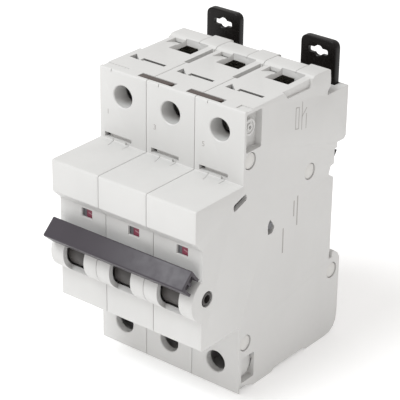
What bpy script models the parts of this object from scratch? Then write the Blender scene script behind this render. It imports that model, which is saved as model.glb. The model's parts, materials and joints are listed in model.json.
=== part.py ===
"""Three-pole miniature circuit breaker for a 35 mm top-hat rail.

Each pole is a deep moulded tray closed by a flat cover.  It holds two box
terminals, a toggle, a link, a contact carrier, a magnetic trip coil, a
bimetal strip, an arc chute and an indicator flag.  Four long pins hold the
poles together, a tie bar joins the toggles, a trip bar runs through every
pole, and two sliding clips grip the rail.

Frame: +X to the right across the poles, +Y to the back (towards the rail),
+Z up.  The origin is on the rail seat, at the middle of the width and at the
height of the rail's centre line.  Lengths below are in millimetres.
"""
import math

import bmesh
import bpy
from mathutils import Matrix

MM = 0.001

# Driving dimensions
POLES = 3
PITCH = 17.5
POLE_GAP = 0.3
SEAM_GAP = 0.12
WALL = 1.3
HEIGHT = 90.0
SHOULDER = 44.0
NOSE_TOP = 22.2
NOSE_BOTTOM = -22.5
NOSE_DEPTH = 20.7
FACE_DEPTH = 17.6
REAR = 5.5
REAR_BLOCK_TOP = 36.9

# Places along X inside one pole, measured from the pole's left pitch line
LEFT = POLE_GAP / 2
RIGHT = PITCH - POLE_GAP / 2
INNER_LEFT = LEFT + WALL
SEAM = RIGHT - 1.5
INNER_RIGHT = SEAM + SEAM_GAP
MID = PITCH / 2
LUG_SEAM = 11.1

# Front face levels along Y
FRONT = -SHOULDER
NOSE = FRONT - NOSE_DEPTH
FACE = FRONT - FACE_DEPTH
TOP = HEIGHT / 2
ROOF = TOP - 0.7
BOTTOM = -HEIGHT / 2

# Handle
HUB = (-59.2, -6.55)
BULGE_RADIUS = 6.85
DRUM_RADIUS = 4.75
DRUM_CHAMBER = 5.3
HANDLE_ON = math.radians(47.0)
SLOT_SPAN = (4.9, 12.7)
SLOT_BOTTOM = math.radians(-42.5)
SLOT_BOTTOM_INNER = math.radians(-64.0)
SLOT_TOP = math.radians(66.0)
SLOT_RADII = (3.25, 9.35)
STUB_RADIUS = (1.2, 2.0)
HUB_SOCKET = 1.25
HUB_HOLE = 2.35
LEVER_HALF = 1.7
LEVER_TIP = 10.9
LEVER_SPAN = (5.4, 12.2)
BAR_INNER = 7.25
BAR_OUTER = 12.25
BAR_HALF = (3.2, 2.75)
BAR_WALL = 1.0
BAR_MARGIN = 0.75

# Toggle linkage
TOGGLE_PIN_RADIUS = 2.63
TOGGLE_PIN_ANGLE = math.radians(60.2)
CARRIER_PIVOT = (-46.0, -12.0)
CARRIER_PIN = (-45.32, -3.81)
CARRIER_AXLE = 1.4
CARRIER_X = (6.2, 9.2)
LINK_X = 3.4
LINK_WIRE = 0.45

# Terminals
SCREW_HEIGHT = (36.8, -37.0)
TUNNEL_RADIUS = 3.4
SCREW_HEAD_RADIUS = 3.0
SCREW_HEAD = (-38.6, -35.6)
SCREW_TIP = -22.9
SCREW_RADIUS = 2.35
ENTRY_X = (6.8, 14.1)
ENTRY_Y = (-21.3, -12.4)
CAGE_X = (2.8, 15.2)
CAGE_Y = (-24.9, -10.9)
CAGE_Z = (30.6, 42.4)
CAGE_WALL = 1.3
TONGUE_Y = (-22.6, -21.6)
TONGUE_X = (5.2, 12.2)
TONGUE_TIP = 41.0
CHAMBER_Y = (-33.4, -10.3)
BUSBAR_SLOT = ((6.1, 15.0), (-34.2, -31.9))

# Openings of the front: indicator window and label slot
WINDOW = ((8.4, 12.2), (5.7, 8.4))
LABEL_SLOT = ((1.8, 11.9), (22.9, 24.4))

# Openings of the right side, as spans along Y and Z
UPPER_POCKET = ((-43.2, -36.4), (31.8, 43.2))
LOWER_POCKET = ((-43.2, -36.8), (-43.2, -33.4))
POCKET_FLOOR = 15.2
POCKET_BOSS = (-40.4, 38.4)
TEST_SLOT = [(-47.9, 16.6), (-47.0, 16.0), (-42.9, 17.4), (-42.3, 18.4), (-43.4, 19.4), (-47.5, 18.0)]
DOOR_CENTRE = (-32.0, 4.8)
DOOR_RADIUS = 2.9

# Pole tie clips in the front edge of the roof
TIE_Y = (-42.6, -40.6)
TIE_REACH = (-3.9, 8.0)
TIE_LEG = 1.5
TIE_FOOT = 41.2
TIE_PLATE = 0.7

# Assembly pins: places along Y and Z
PINS = {
    "assembly_pin_upper_front": (-41.1, 28.9),
    "assembly_pin_lower_front": (-41.1, -28.9),
    "assembly_pin_middle": (-12.3, 15.4),
    "assembly_pin_rear": (1.5, -22.7),
}
PIN_RADIUS = 1.5
PIN_HEAD_RADIUS = 2.42
PIN_HEAD_DEPTH = 0.9

# Trip unit
TRIP_AXIS = (-30.5, 4.8)
TRIP_ROD_RADIUS = 1.1
COIL_HEIGHT = 13.0
COIL_Y = (-25.6, -17.0)
COIL_RADIUS = 4.1
COIL_WIRE = 0.8
COIL_TURNS = 3.5
YOKE_Y = (-27.5, -15.2)
YOKE_TOP = 20.1
YOKE_BOTTOM = 7.4
YOKE_WALL = 1.2
PLUNGER = (-29.2, -17.6)
PLUNGER_STEM = 0.9
PLUNGER_BODY = 2.6
PLUNGER_SHOULDER = (-24.0, -23.0)
FINGER_THICK = 1.2

# Rail clips
CLIP_X = (2.0, 14.4)
CLIP_Y = (2.5, 4.9)
CLIP_TOP = 49.7
CLIP_TIP = 13.6
CLIP_TRAVEL = 4.5
CLIP_LIP = 1.3
CLIP_CORNER = 2.2
CLIP_NOSE = ((1.4, 3.1), (14.4, 17.8))
KEYHOLE = (45.9, 1.55, 3.4, 0.75)
CLIP_POLES = (0, 2)

COLOURS = {
    "shell": ((0.76, 0.76, 0.75), 0.45, 0.0),
    "pin": ((0.80, 0.79, 0.77), 0.5, 0.0),
    "bar": ((0.11, 0.10, 0.11), 0.4, 0.0),
    "toggle": ((0.07, 0.065, 0.065), 0.4, 0.0),
    "clip": ((0.015, 0.013, 0.013), 0.3, 0.0),
    "tie": ((0.08, 0.06, 0.05), 0.5, 0.0),
    "flag": ((0.36, 0.05, 0.08), 0.4, 0.0),
    "steel": ((0.55, 0.55, 0.56), 0.35, 1.0),
    "plated": ((0.62, 0.60, 0.55), 0.3, 1.0),
    "copper": ((0.72, 0.38, 0.24), 0.3, 1.0),
    "iron": ((0.35, 0.35, 0.36), 0.5, 1.0),
    "carrier": ((0.15, 0.15, 0.16), 0.5, 0.0),
}


# ---------------------------------------------------------------- scene tools
def clear_scene():
    for item in list(bpy.data.objects):
        bpy.data.objects.remove(item, do_unlink=True)


def finish_material(kind):
    """Return the shared material of one kind of part."""
    material = bpy.data.materials.get(kind)
    if material is None:
        colour, roughness, metallic = COLOURS[kind]
        material = bpy.data.materials.new(kind)
        material.use_nodes = True
        shader = material.node_tree.nodes["Principled BSDF"]
        shader.inputs["Base Color"].default_value = (*colour, 1.0)
        shader.inputs["Roughness"].default_value = roughness
        shader.inputs["Metallic"].default_value = metallic
    return material


def from_bmesh(name, body):
    """Turn a bmesh in millimetres into an object in metres."""
    bmesh.ops.recalc_face_normals(body, faces=body.faces)
    bmesh.ops.scale(body, vec=(MM, MM, MM), verts=body.verts)
    mesh = bpy.data.meshes.new(name)
    body.to_mesh(mesh)
    body.free()
    item = bpy.data.objects.new(name, mesh)
    bpy.context.scene.collection.objects.link(item)
    return item


def prism(outline, start, end):
    """Extrude a closed (y, z) outline along X from start to end."""
    body = bmesh.new()
    ring = [body.verts.new((start, y, z)) for y, z in outline]
    base = body.faces.new(ring)
    grown = bmesh.ops.extrude_face_region(body, geom=[base])
    moved = [v for v in grown["geom"] if isinstance(v, bmesh.types.BMVert)]
    bmesh.ops.translate(body, vec=(end - start, 0, 0), verts=moved)
    return from_bmesh("prism", body)


def box(x, y, z):
    """A block between the two ends given for each axis."""
    return prism([(y[0], z[0]), (y[1], z[0]), (y[1], z[1]), (y[0], z[1])], *x)


def turned(axis, centre, profile, sides=16):
    """Revolve (distance along the axis, radius) pairs about X or Y.

    centre gives the axis's two other coordinates, in X, Y, Z order.
    """
    body = bmesh.new()
    rings = []
    for along, radius in profile:
        ring = []
        for k in range(sides):
            turn = math.tau * k / sides
            side, rise = radius * math.cos(turn), radius * math.sin(turn)
            if axis == "X":
                place = (along, centre[0] + side, centre[1] + rise)
            else:
                place = (centre[0] + side, along, centre[1] + rise)
            ring.append(body.verts.new(place))
        rings.append(ring)
    for low, high in zip(rings, rings[1:]):
        for k in range(sides):
            nxt = (k + 1) % sides
            body.faces.new((low[k], low[nxt], high[nxt], high[k]))
    body.faces.new(rings[0])
    body.faces.new(rings[-1])
    return from_bmesh("turned", body)


def rod(axis, centre, radius, start, end, sides=16):
    return turned(axis, centre, [(start, radius), (end, radius)], sides)


def wire(path, radius, sides=6):
    """Sweep a round wire along a list of points."""
    curve = bpy.data.curves.new("wire", "CURVE")
    curve.dimensions = "3D"
    curve.bevel_depth = radius * MM
    curve.bevel_resolution = max(0, sides // 2 - 2)
    curve.use_fill_caps = True
    spline = curve.splines.new("POLY")
    spline.points.add(len(path) - 1)
    for point, place in zip(spline.points, path):
        point.co = (place[0] * MM, place[1] * MM, place[2] * MM, 1.0)
    item = bpy.data.objects.new("wire", curve)
    bpy.context.scene.collection.objects.link(item)
    return item


def evaluated(item):
    """Replace an object's data with the mesh that its modifiers give."""
    graph = bpy.context.evaluated_depsgraph_get()
    mesh = bpy.data.meshes.new_from_object(item.evaluated_get(graph))
    result = bpy.data.objects.new(item.name, mesh)
    bpy.context.scene.collection.objects.link(result)
    bpy.data.objects.remove(item, do_unlink=True)
    return result


def combine(item, others, operation):
    """Cut the other solids from item, or join them to it."""
    for other in others:
        other.hide_render = True
        other.display_type = "WIRE"
        step = item.modifiers.new(operation.lower(), "BOOLEAN")
        step.operation = operation
        step.solver = "EXACT"
        step.object = other
    result = evaluated(item)
    for other in others:
        bpy.data.objects.remove(other, do_unlink=True)
    return result


def cut(item, others):
    return combine(item, others, "DIFFERENCE")


def fuse(item, others):
    return combine(item, others, "UNION")


def clean_mesh(item):
    """Merge stray doubles and flatten split faces left by the cuts."""
    body = bmesh.new()
    body.from_mesh(item.data)
    bmesh.ops.remove_doubles(body, verts=body.verts, dist=1e-6)
    bmesh.ops.dissolve_limit(
        body, angle_limit=math.radians(0.5), verts=body.verts, edges=body.edges
    )
    bmesh.ops.triangulate(body, faces=body.faces, ngon_method="EAR_CLIP")
    body.to_mesh(item.data)
    body.free()


def place(name, item, kind, x=0.0, origin=(0.0, 0.0, 0.0), round_piece=False):
    """Name a finished solid, put it at x and set its origin on its axis."""
    clean_mesh(item)
    mesh = item.data
    mesh.name = name
    offset = [value * MM for value in origin]
    mesh.transform(Matrix.Translation([-value for value in offset]))
    mesh.materials.clear()
    mesh.materials.append(finish_material(kind))
    if round_piece:
        mesh.shade_smooth()
        mesh.set_sharp_from_angle(angle=math.radians(35))
    item.name = name
    item.location = (offset[0] + x * MM, offset[1], offset[2])
    return item


def repeat(item, names, places):
    """Copy a placed solid; every copy shares its mesh."""
    base = item.location.copy()
    for name, x in zip(names[1:], places[1:]):
        other = bpy.data.objects.new(name, item.data)
        bpy.context.scene.collection.objects.link(other)
        other.location = (base.x + (x - places[0]) * MM, base.y, base.z)


def pole_x(pole):
    """Left pitch line of a pole in the whole breaker."""
    return (pole - POLES / 2) * PITCH


def per_pole(stem, item, kind, origin=(0.0, 0.0, 0.0), round_piece=False):
    """Place one solid in every pole, as stem_1, stem_2 and so on."""
    names = [f"{stem}_{pole + 1}" for pole in range(POLES)]
    places = [pole_x(pole) for pole in range(POLES)]
    place(names[0], item, kind, places[0], origin, round_piece)
    repeat(item, names, places)


# ------------------------------------------------------------------- outlines
def arc(centre, radius, start, end, steps):
    """Points on an arc in the Y, Z plane; angles run from +Y towards +Z."""
    points = []
    for k in range(steps + 1):
        turn = start + (end - start) * k / steps
        points.append((centre[0] + radius * math.cos(turn), centre[1] + radius * math.sin(turn)))
    return points


def polar(radius, lift, slide=0.0):
    """A point seen from the hub: lift is its angle above straight forward."""
    out = (-math.cos(lift), math.sin(lift))
    down = (-math.sin(lift), -math.cos(lift))
    return (
        HUB[0] + radius * out[0] + slide * down[0],
        HUB[1] + radius * out[1] + slide * down[1],
    )


def rear_outline():
    """Back of the pole, from the rear block down to the foot."""
    corner = 6.2
    hook = [(0.0, -15.6), (-0.2, -15.8), (-0.2, -18.2), (1.4, -18.2), (1.4, -16.6), (2.3, -16.2)]
    hook += [(4.4, -17.8), (REAR, -19.6)]
    seat = [(1.2, 20.0), (1.2, 18.3), (0.0, 18.3), (0.0, 13.6), (-1.7, 13.2), (-2.5, 10.8), (0.0, 9.2)]
    foot = arc((REAR - corner, BOTTOM + corner), corner, 0.0, -math.pi / 2, 6)
    return [(REAR, REAR_BLOCK_TOP), (REAR, 20.9), (4.6, 20.0)] + seat + hook + foot


def front_outline():
    """Bottom and front of the pole, from the rear foot up to the roof."""
    half = math.acos((HUB[0] - FACE) / BULGE_RADIUS)
    bulge = arc(HUB, BULGE_RADIUS, math.pi + half, math.pi - half, 12)
    belly = [(-10.4, BOTTOM), (-12.0, BOTTOM + 1), (-26.5, BOTTOM + 1), (-28.0, BOTTOM)]
    lower = [(FRONT, BOTTOM), (FRONT, NOSE_BOTTOM), (FACE, NOSE_BOTTOM)]
    upper = [(FACE, 9.2), (NOSE, 12.3), (NOSE, NOSE_TOP), (FRONT, NOSE_TOP), (FRONT, ROOF)]
    return belly + lower + bulge + upper


def tray_outline():
    """Side view of the tray: the ridge behind the wire entry is short."""
    rise = [(-12.7, ROOF), (-11.9, TOP - 0.1), (-10.5, TOP), (-8.0, TOP)]
    fall = [(-6.6, TOP - 0.6), (-6.2, TOP - 2), (-6.2, REAR_BLOCK_TOP)]
    return rise + fall + rear_outline() + front_outline()


def cover_outline():
    """Side view of the cover: its ridge runs further back."""
    ridge = [(-12.7, ROOF), (-11.9, TOP - 0.1), (-10.5, TOP), (-4.8, TOP - 0.2), (-4.0, TOP - 0.7)]
    notch = [(-3.7, 41.6), (-3.7, 39.4), (-5.0, 38.0), (-5.0, REAR_BLOCK_TOP)]
    return ridge + notch + rear_outline() + front_outline()


# -------------------------------------------------------------------- housing
def pin_holes(start, end):
    return [rod("X", place_yz, PIN_RADIUS + 0.3, start, end, 12) for place_yz in PINS.values()]


def terminal_cuts():
    """Screw tunnels, wire entries and busbar slots of the tray."""
    cuts = []
    for height, sign in zip(SCREW_HEIGHT, (1, -1)):
        cuts.append(rod("Y", (MID, height), TUNNEL_RADIUS, FRONT - 2, CHAMBER_Y[0] + 1, 20))
        ends = sorted((sign * 42.0, sign * 47.0))
        cuts.append(box(ENTRY_X, ENTRY_Y, ends))
        if sign > 0:
            cuts.append(box(*BUSBAR_SLOT, ends))
    return cuts


def cavity_cuts(end):
    """The hollow that holds the mechanism, from the inner wall to end."""
    span = (INNER_LEFT, end)
    return [
        box(span, (-42.4, -4.6), (-25.0, 25.0)),
        box(span, (-60.2, -42.0), (-21.0, 20.7)),
        box(span, CHAMBER_Y, (24.0, 43.1)),
        box(span, CHAMBER_Y, (-42.8, -24.0)),
        rod("X", HUB, DRUM_CHAMBER, *span, 20),
    ]


def toggle_slot():
    """The slot in the bulge that the toggle's lever swings in."""
    inner = arc(HUB, SLOT_RADII[0], math.pi - SLOT_BOTTOM_INNER, math.pi - SLOT_TOP, 4)
    outer = arc(HUB, SLOT_RADII[1], math.pi - SLOT_TOP, math.pi - SLOT_BOTTOM, 6)
    return prism(inner + outer, *SLOT_SPAN)


def clip_cuts():
    """Channel of the rail clip, its open back and the room its nose needs."""
    gap = POLE_GAP
    wide = (CLIP_X[0] - gap, CLIP_X[1] + gap)
    narrow = (CLIP_X[0] + CLIP_LIP, CLIP_X[1] - CLIP_LIP)
    nose_top = CLIP_NOSE[1][1] + CLIP_TRAVEL + 2 * gap
    return [
        box(wide, (CLIP_Y[0] - gap, CLIP_Y[1] + gap), (8.0, TOP + 1)),
        box(narrow, (CLIP_Y[0], REAR + 2), (8.0, TOP + 1)),
        box(wide, (CLIP_NOSE[0][0] - gap, REAR + 2), (12.0, nose_top)),
    ]


def side_pockets(end):
    """Shallow pockets in the side of the two terminal blocks."""
    return [box((POCKET_FLOOR, end), *UPPER_POCKET), box((POCKET_FLOOR, end), *LOWER_POCKET)]


def ridge_lug_outline(rear, floor):
    """Side view of the cover's part of the roof ridge."""
    return [(-12.7, 43.6), (-12.7, ROOF), (-11.9, TOP - 0.1), (-10.5, TOP), (-4.8, TOP - 0.2),
            (-4.0, TOP - 0.7), (-3.7, 41.6), (-3.7, 39.4), (rear, 38.0), (rear, floor),
            (-9.9, floor), (-9.9, 43.6)]


def make_tray():
    tray = prism(tray_outline(), LEFT, SEAM)
    beyond = PITCH
    tie_y = (TIE_Y[0] - POLE_GAP, TIE_Y[1] + POLE_GAP)
    cuts = cavity_cuts(beyond) + pin_holes(-1, beyond) + terminal_cuts() + clip_cuts()
    cuts += side_pockets(beyond)
    cuts += [
        toggle_slot(),
        box(WINDOW[0], (FACE - 1, -59.0), WINDOW[1]),
        box(LABEL_SLOT[0], (FRONT - 1, -40.0), LABEL_SLOT[1]),
        box((LEFT - 1, TIE_REACH[1] + 0.35), tie_y, (TIE_FOOT - 0.3, TOP + 1)),
        box((PITCH + TIE_REACH[0] - 0.3, beyond), tie_y, (TIE_FOOT - 0.3, TOP + 1)),
        box((LUG_SEAM, beyond), (-12.9, -3.2), (REAR_BLOCK_TOP, TOP + 1)),
        rod("X", HUB, STUB_RADIUS[0] + 0.35, -1, 3),
        rod("X", TRIP_AXIS, TRIP_ROD_RADIUS + 0.35, -1, 3),
    ]
    tray = cut(tray, cuts)
    axle = rod("X", CARRIER_PIVOT, CARRIER_AXLE, LEFT + 0.6, 12.0)
    boss = rod("X", POCKET_BOSS, 1.9, POCKET_FLOOR - 0.4, POCKET_FLOOR + 1.2)
    return fuse(tray, [axle, boss])


def make_cover():
    plate = prism(cover_outline(), INNER_RIGHT, RIGHT)
    lug = prism(ridge_lug_outline(-5.0, 37.1), LUG_SEAM + SEAM_GAP, RIGHT - 0.5)
    plate = fuse(plate, [lug])
    through = (14.0, RIGHT + 1)
    tie_y = (TIE_Y[0] - POLE_GAP, TIE_Y[1] + POLE_GAP)
    cuts = pin_holes(INNER_RIGHT - 6, RIGHT + 1)
    cuts += [
        box(through, *UPPER_POCKET),
        box(through, *LOWER_POCKET),
        prism(TEST_SLOT, *through),
        prism(arc(DOOR_CENTRE, DOOR_RADIUS, -math.pi / 2, math.pi / 2, 8), *through),
        rod("X", HUB, HUB_HOLE, *through, 20),
        box(through, tie_y, (ROOF - TIE_PLATE - 0.3, TOP + 1)),
    ]
    return cut(plate, cuts)


# --------------------------------------------------------------------- handle
def make_toggle():
    drum = rod("X", HUB, DRUM_RADIUS, 5.0, 13.0, 20)
    foot = 2.0
    lever = prism(
        [polar(foot, HANDLE_ON, -LEVER_HALF), polar(LEVER_TIP, HANDLE_ON, -LEVER_HALF),
         polar(LEVER_TIP, HANDLE_ON, LEVER_HALF), polar(foot, HANDLE_ON, LEVER_HALF)],
        *LEVER_SPAN,
    )
    stub_left = rod("X", HUB, STUB_RADIUS[0], LEFT + 0.3, 6.0)
    stub_right = rod("X", HUB, STUB_RADIUS[1], 12.0, RIGHT - 0.15, 20)
    toggle = fuse(drum, [lever, stub_left, stub_right])
    socket = rod("X", HUB, HUB_SOCKET, RIGHT - 3.0, RIGHT + 1)
    pin_hole = rod("X", toggle_pin(), LINK_WIRE + 0.4, 4.0, 8.0, 12)
    return cut(toggle, [socket, pin_hole])


def toggle_pin():
    return (
        HUB[0] + TOGGLE_PIN_RADIUS * math.cos(TOGGLE_PIN_ANGLE),
        HUB[1] + TOGGLE_PIN_RADIUS * math.sin(TOGGLE_PIN_ANGLE),
    )


def make_tie_bar():
    """Channel that caps the three levers, open towards the hub."""
    outer, inner = BAR_HALF
    skin = [polar(BAR_INNER, HANDLE_ON, -inner), polar(BAR_OUTER, HANDLE_ON, -outer),
            polar(BAR_OUTER, HANDLE_ON, outer), polar(BAR_INNER, HANDLE_ON, inner)]
    start = pole_x(0) + BAR_MARGIN
    bar = prism(skin, start, -start)
    room = LEVER_HALF + 0.3
    hollow = [polar(BAR_INNER - 2, HANDLE_ON, -room), polar(BAR_OUTER - BAR_WALL, HANDLE_ON, -room),
              polar(BAR_OUTER - BAR_WALL, HANDLE_ON, room), polar(BAR_INNER - 2, HANDLE_ON, room)]
    return cut(bar, [prism(hollow, start - 1, 1 - start)])


def make_link():
    """Bent wire from the toggle's hole to the carrier's hole."""
    first, last = toggle_pin(), CARRIER_PIN
    reach = 8.6
    bend = 0.6
    run = math.hypot(last[0] - first[0], last[1] - first[1])
    step = ((last[0] - first[0]) / run * bend, (last[1] - first[1]) / run * bend)
    path = [
        (7.4, *first), (LINK_X + bend, *first), (LINK_X, first[0] + step[0], first[1] + step[1]),
        (LINK_X, last[0] - step[0], last[1] - step[1]), (LINK_X + bend, *last), (reach, *last),
    ]
    return evaluated(wire(path, LINK_WIRE, 8))


# ------------------------------------------------------------------ mechanism
def make_contact_carrier():
    y, z = CARRIER_PIVOT
    lever = [(-2.6, -2.4), (2.6, -2.4), (3.4, 0.5), (10.6, 12.2), (10.6, 15.6), (9.2, 15.6),
             (3.0, 6.4), (2.6, 10.4), (-1.4, 10.4), (-2.6, 0.0)]
    arm = prism([(y + a, z + b) for a, b in lever], *CARRIER_X)
    pivot_hole = rod("X", CARRIER_PIVOT, CARRIER_AXLE + 0.35, 5, 11)
    link_hole = rod("X", CARRIER_PIN, LINK_WIRE + 0.6, 5, 11, 12)
    return cut(arm, [pivot_hole, link_hole])


def make_fixed_contact():
    """Bent strip from the contact tip to the coil's lower end."""
    strip = [(-34.9, -1.5), (-18.0, -1.5), (-18.0, 7.0), (-19.2, 7.0), (-19.2, -0.3),
             (-33.7, -0.3), (-33.7, 5.2), (-34.9, 5.2)]
    return prism(strip, 5.6, 9.8)


def make_coil():
    """Helix about Y between the yoke's two walls."""
    steps = round(COIL_TURNS * 10)
    path = []
    for k in range(steps + 1):
        turn = math.tau * COIL_TURNS * k / steps
        y = COIL_Y[0] + COIL_WIRE + (COIL_Y[1] - COIL_Y[0] - 2 * COIL_WIRE) * k / steps
        path.append((MID + COIL_RADIUS * math.cos(turn), y, COIL_HEIGHT + COIL_RADIUS * math.sin(turn)))
    return evaluated(wire(path, COIL_WIRE, 6))


def make_yoke():
    """U-shaped magnet frame with the upper terminal's tongue."""
    front, rear = YOKE_Y
    frame = prism(
        [(front, YOKE_BOTTOM), (front + YOKE_WALL, YOKE_BOTTOM), (front + YOKE_WALL, YOKE_TOP - YOKE_WALL),
         (rear - YOKE_WALL, YOKE_TOP - YOKE_WALL), (rear - YOKE_WALL, YOKE_BOTTOM), (rear, YOKE_BOTTOM),
         (rear, YOKE_TOP), (front, YOKE_TOP)],
        4.0, 13.5,
    )
    tongue = box(TONGUE_X, TONGUE_Y, (YOKE_TOP - 0.6, TONGUE_TIP))
    frame = fuse(frame, [tongue])
    return cut(frame, [rod("Y", (MID, COIL_HEIGHT), PLUNGER_STEM + 0.4, front - 1, front + 3)])


def make_plunger():
    start, end = PLUNGER
    neck, shoulder = PLUNGER_SHOULDER
    profile = [(start, PLUNGER_STEM), (neck, PLUNGER_STEM), (shoulder, PLUNGER_BODY), (end, PLUNGER_BODY)]
    return turned("Y", (MID, COIL_HEIGHT), profile)


def make_bimetal():
    """Lower terminal's tongue, a cross plate and the bimetal strip."""
    tongue = box(TONGUE_X, TONGUE_Y, (-TONGUE_TIP, -24.2))
    plate = box((5.2, 14.4), (-33.4, TONGUE_Y[1]), (-24.8, -23.8))
    strip = box((11.0, 14.4), (-33.4, -32.6), (-24.2, 1.4))
    return fuse(plate, [tongue, strip])


def make_arc_chute():
    """Fibre base with a comb of splitter plates."""
    start, end, count = -27.0, -7.6, 9
    low, floor, high = -19.6, -18.6, -3.4
    thick = 1.0
    pitch = (end - start - thick) / (count - 1)
    comb = [(start, low), (end, low)]
    for k in reversed(range(count)):
        y = start + k * pitch
        comb += [(y + thick, high), (y, high)]
        if k:
            comb += [(y, floor), (y - pitch + thick, floor)]
    return prism(comb, 3.2, 14.2)


def make_flag():
    plate = box((7.4, 13.2), (-59.9, -58.9), (0.6, 9.2))
    return fuse(plate, [box((12.4, 13.2), (-59.2, -54.0), (1.0, 2.6))])


def make_trip_bar():
    """Rod through all poles with a paddle, its hub and a finger in each."""
    start = pole_x(0) + LEFT + 0.3
    y, z = TRIP_AXIS
    bar = rod("X", TRIP_AXIS, TRIP_ROD_RADIUS, start, -start)
    front = y - FINGER_THICK - 1.0
    parts = []
    for pole in range(POLES):
        x = pole_x(pole)
        parts.append(box((x + 7.4, x + 10.0), (front, front + FINGER_THICK), (z - 0.9, z + 9.6)))
        parts.append(box((x + 7.5, x + 9.9), (front + 0.5, y + 0.3), (z - 0.8, z + 0.8)))
        parts.append(box((x + 11.2, x + 14.2), (y - 1.0, y - 1.0 + FINGER_THICK), (z - 4.8, z)))
    return fuse(bar, parts)


# ------------------------------------------------------------------ terminals
def make_cage(sign):
    """Clamp box open along Z, with a plain hole for the screw."""
    z = sorted((sign * CAGE_Z[0], sign * CAGE_Z[1]))
    cage = box(CAGE_X, CAGE_Y, z)
    window = box((CAGE_X[0] + CAGE_WALL, CAGE_X[1] - CAGE_WALL),
                 (CAGE_Y[0] + 1.8, CAGE_Y[1] - CAGE_WALL), (z[0] - 1, z[1] + 1))
    height = SCREW_HEIGHT[0] if sign > 0 else SCREW_HEIGHT[1]
    hole = rod("Y", (MID, height), SCREW_RADIUS + 0.3, CAGE_Y[0] - 1, CAGE_Y[0] + 3, 16)
    return cut(cage, [window, hole])


def make_screw(height):
    """Pan-head clamp screw with a cross recess."""
    top, under = SCREW_HEAD
    head = [(top, SCREW_HEAD_RADIUS - 0.5), (top + 0.5, SCREW_HEAD_RADIUS), (under, SCREW_HEAD_RADIUS)]
    shank = [(under, SCREW_RADIUS), (SCREW_TIP - 0.5, SCREW_RADIUS), (SCREW_TIP, SCREW_RADIUS - 0.5)]
    screw = turned("Y", (MID, height), head + shank)
    depth = (top - 1, top + 1.6)
    half, arm = 0.45, 2.1
    bar_a = box((MID - half, MID + half), depth, (height - arm, height + arm))
    bar_b = box((MID - arm, MID + arm), depth, (height - half, height + half))
    return cut(screw, [fuse(bar_a, [bar_b])])


# ------------------------------------------------------------ shared hardware
def make_pin(centre):
    """Long pin with a flat head at each side of the breaker."""
    end = -(pole_x(0) + LEFT) - 0.1
    neck = end - PIN_HEAD_DEPTH
    return turned("X", centre,
                  [(-end, PIN_HEAD_RADIUS - 0.1), (-end + 0.1, PIN_HEAD_RADIUS), (-neck, PIN_HEAD_RADIUS),
                   (-neck, PIN_RADIUS), (neck, PIN_RADIUS), (neck, PIN_HEAD_RADIUS),
                   (end - 0.1, PIN_HEAD_RADIUS), (end, PIN_HEAD_RADIUS - 0.1)], 16)


def sink_pin_heads():
    """Counterbores for the pin heads in the two outer side faces."""
    end = -(pole_x(0) + LEFT)
    depth = PIN_HEAD_DEPTH + 0.4
    last = f"_{POLES}"
    for name, span in (("housing_tray_1", (-end - 1, depth - end)),
                       ("housing_cover" + last, (end - depth, end + 1))):
        old = bpy.data.objects[name]
        own = bpy.data.objects.new("own", old.data.copy())
        bpy.context.scene.collection.objects.link(own)
        own.location = old.location
        bpy.context.view_layer.update()
        own.data.transform(own.matrix_world)
        own.matrix_world = Matrix()
        bpy.data.objects.remove(old, do_unlink=True)
        cuts = [rod("X", centre, PIN_HEAD_RADIUS + 0.12, *span, 16) for centre in PINS.values()]
        place(name, cut(own, cuts), "shell")


def make_rail_clip():
    """Sliding plate with a keyhole above and a wedge tip below."""
    mid = sum(CLIP_X) / 2
    half = (CLIP_X[1] - CLIP_X[0]) / 2
    radius = CLIP_CORNER
    body = bmesh.new()
    outline = [(-half + 1.0, CLIP_TIP), (half - 1.0, CLIP_TIP)]
    outline += [(half, 20.0), (half, CLIP_TOP - radius)]
    for k in range(1, 5):
        turn = math.pi / 8 * k
        side, rise = radius * math.cos(turn), radius * math.sin(turn)
        outline.append((half - radius + side, CLIP_TOP - radius + rise))
    outline += [(-a, b) for a, b in reversed(outline[2:])]
    ring = [body.verts.new((mid + a, CLIP_Y[0], b)) for a, b in outline]
    face = body.faces.new(ring)
    grown = bmesh.ops.extrude_face_region(body, geom=[face])
    moved = [v for v in grown["geom"] if isinstance(v, bmesh.types.BMVert)]
    bmesh.ops.translate(body, vec=(0, CLIP_Y[1] - CLIP_Y[0], 0), verts=moved)
    clip = from_bmesh("clip", body)
    height, lobe, reach, half_slit = KEYHOLE
    keyhole = [
        rod("Y", (mid, height), lobe, 0, 9, 12),
        box((mid - reach, mid + reach), (0, 9), (height - half_slit, height + half_slit)),
    ]
    below = CLIP_TIP - 3.6
    slant = [(CLIP_Y[0] - 1, below), (CLIP_Y[1] + 1, below), (CLIP_Y[1] + 1, 16.2), (CLIP_Y[0] - 1, 12.6)]
    wedge = prism(slant, 0, PITCH)
    clip = cut(clip, keyhole + [wedge])
    (front, rear), (low, high) = CLIP_NOSE
    nose = prism([(front, low), (rear, low + 0.2), (rear, high), (front, high - 0.9)],
                 CLIP_X[0] + 1.0, CLIP_X[1] - 1.0)
    return fuse(clip, [nose])


def make_tie_clip():
    """Staple that joins two neighbouring poles at the roof."""
    top = ROOF - 0.05
    left, right = PITCH + TIE_REACH[0], PITCH + TIE_REACH[1]
    strip = box((left, right), TIE_Y, (top - TIE_PLATE, top))
    legs = [box((left, left + TIE_LEG), TIE_Y, (TIE_FOOT, top - 0.3)),
            box((right - TIE_LEG, right), TIE_Y, (TIE_FOOT, top - 0.3))]
    return fuse(strip, legs)


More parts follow.
